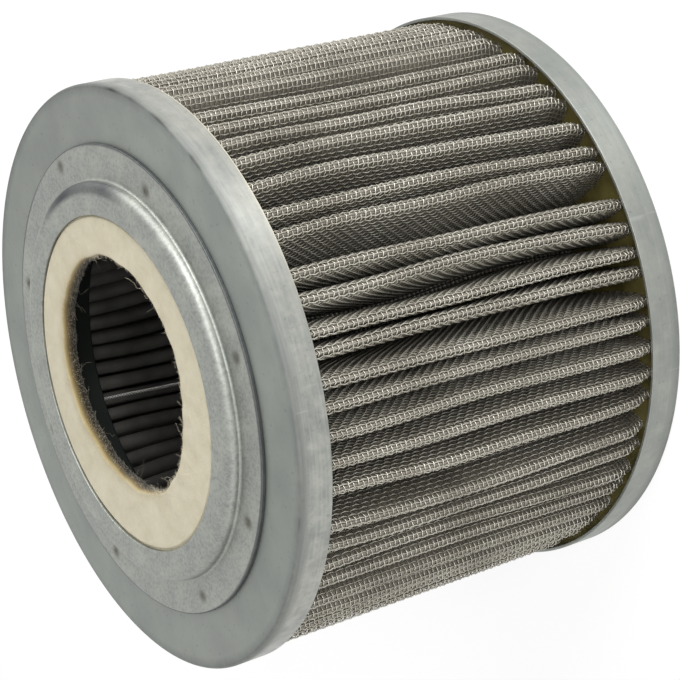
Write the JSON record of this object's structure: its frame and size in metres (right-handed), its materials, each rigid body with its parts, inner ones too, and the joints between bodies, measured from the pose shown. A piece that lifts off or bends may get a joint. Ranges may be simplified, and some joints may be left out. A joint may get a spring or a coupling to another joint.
{
  "type": "hydraulic filter",
  "caption": "Round hydraulic filter: pleated wire mesh between two pressed steel end caps, with a felt seal at the outlet.",
  "frame": {"origin": "on the axis, at the underside of the closed rear cap, on which the filter stands", "axes": "+Z along the filter's axis, from the closed cap to the felt-sealed outlet; +X towards the side that the picture shows"},
  "size_m": [0.142, 0.142, 0.112],
  "materials": {
    "zinc_steel": "dull galvanised, satin",
    "wool_felt": "pressed felt, matte",
    "wire_mesh": "woven stainless wire",
    "fine_mesh": "fine woven stainless wire, dull",
    "epoxy": "set casting resin, dull"
  },
  "bodies": {
    "root": {"rear_end_cap": "zinc_steel", "front_end_cap": "zinc_steel", "seal_retainer": "zinc_steel", "felt_seal": "wool_felt", "support_mesh": "wire_mesh", "filter_mesh": "fine_mesh", "rear_potting": "epoxy", "front_potting": "epoxy"}
  },
  "joints": []
}
